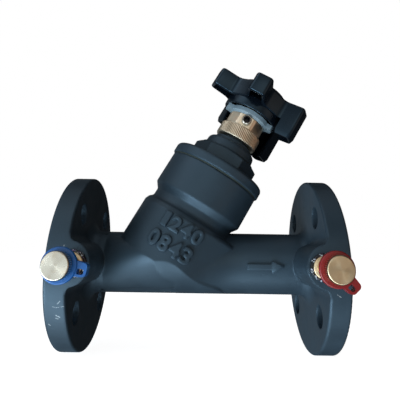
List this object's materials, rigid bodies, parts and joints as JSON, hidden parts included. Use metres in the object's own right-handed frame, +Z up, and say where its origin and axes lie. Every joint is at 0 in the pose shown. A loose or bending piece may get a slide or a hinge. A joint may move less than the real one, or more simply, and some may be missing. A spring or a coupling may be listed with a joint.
{
  "type": "circuit balancing valve",
  "caption": "Flanged oblique-pattern balancing valve: black cast body, leaning bonnet with a lobed handwheel, and a capped pressure test point on each flange.",
  "frame": {"origin": "centre of the inlet flange's raised face, on the pipe axis", "axes": "+X with the flow from the inlet to the outlet, +Z up, so that the bonnet leans towards +X in the XZ plane and the test points stand out along -Y"},
  "size_m": [0.18, 0.1455, 0.2014],
  "materials": {
    "cast_black": "satin black paint over the casting",
    "brass_plain": "turned",
    "brass_bright": "turned, pale",
    "bright_steel": "zinc plated",
    "black_steel": "black oxide",
    "wheel_plastic": "satin black moulding",
    "white_plastic": "smooth",
    "blue_plastic": "smooth",
    "red_plastic": "smooth",
    "seat_plastic": "smooth",
    "seal_rubber": "matt",
    "gasket_fibre": "matt"
  },
  "bodies": {
    "casting": {"valve_body": "cast_black", "seat_ring": "brass_plain", "bonnet": "cast_black", "bonnet_gasket": "gasket_fibre", "bonnet_o_ring": "seal_rubber", "thrust_washer": "seat_plastic", "lock_collar": "brass_plain", "collar_screw": "black_steel", "index_ring": "white_plastic", "inlet_test_nipple": "brass_plain", "inlet_test_core": "seal_rubber", "outlet_test_nipple": "brass_plain", "outlet_test_core": "seal_rubber"},
    "wheel": {"handwheel": "wheel_plastic", "handwheel_screw": "bright_steel", "handwheel_cap": "wheel_plastic", "stem": "brass_plain", "stem_o_rings": "seal_rubber"},
    "plug": {"cone_carrier": "brass_plain", "cone": "brass_plain", "cone_seal": "seat_plastic", "cone_screw": "bright_steel"},
    "inlet_ring": {"inlet_tag_ring": "blue_plastic"},
    "inlet_cap": {"inlet_test_cap": "brass_bright", "inlet_cap_seal": "seal_rubber"},
    "outlet_ring": {"outlet_tag_ring": "red_plastic"},
    "outlet_cap": {"outlet_test_cap": "brass_bright", "outlet_cap_seal": "seal_rubber"}
  },
  "joints": [
    {"name": "handwheel_turn", "type": "hinge", "parent": "casting", "child": "wheel", "pos_m": [0.0645, 0, 0], "axis": [0.5, 0, 0.866], "range_deg": [0, 1440]},
    {"name": "cone_lift", "type": "slide", "parent": "casting", "child": "plug", "axis": [0.5, 0, 0.866], "range_m": [0, 0.01]},
    {"name": "inlet_ring_slide", "type": "slide", "parent": "casting", "child": "inlet_ring", "axis": [0, -1, 0], "range_m": [0, 0.003]},
    {"name": "inlet_cap_turn", "type": "hinge", "parent": "inlet_ring", "child": "inlet_cap", "pos_m": [0.0185, -0.06, 0], "axis": [0, -1, 0], "range_deg": [0, 1080]},
    {"name": "outlet_ring_slide", "type": "slide", "parent": "casting", "child": "outlet_ring", "axis": [0, -1, 0], "range_m": [0, 0.003]},
    {"name": "outlet_cap_turn", "type": "hinge", "parent": "outlet_ring", "child": "outlet_cap", "pos_m": [0.1615, -0.06, 0], "axis": [0, -1, 0], "range_deg": [0, 1080]}
  ],
  "couplings": [
    {"joint": "cone_lift", "follows": "handwheel_turn", "m_per_rad": 0.00039788},
    {"joint": "inlet_ring_slide", "follows": "inlet_cap_turn", "m_per_rad": 0.00015915},
    {"joint": "outlet_ring_slide", "follows": "outlet_cap_turn", "m_per_rad": 0.00015915}
  ]
}
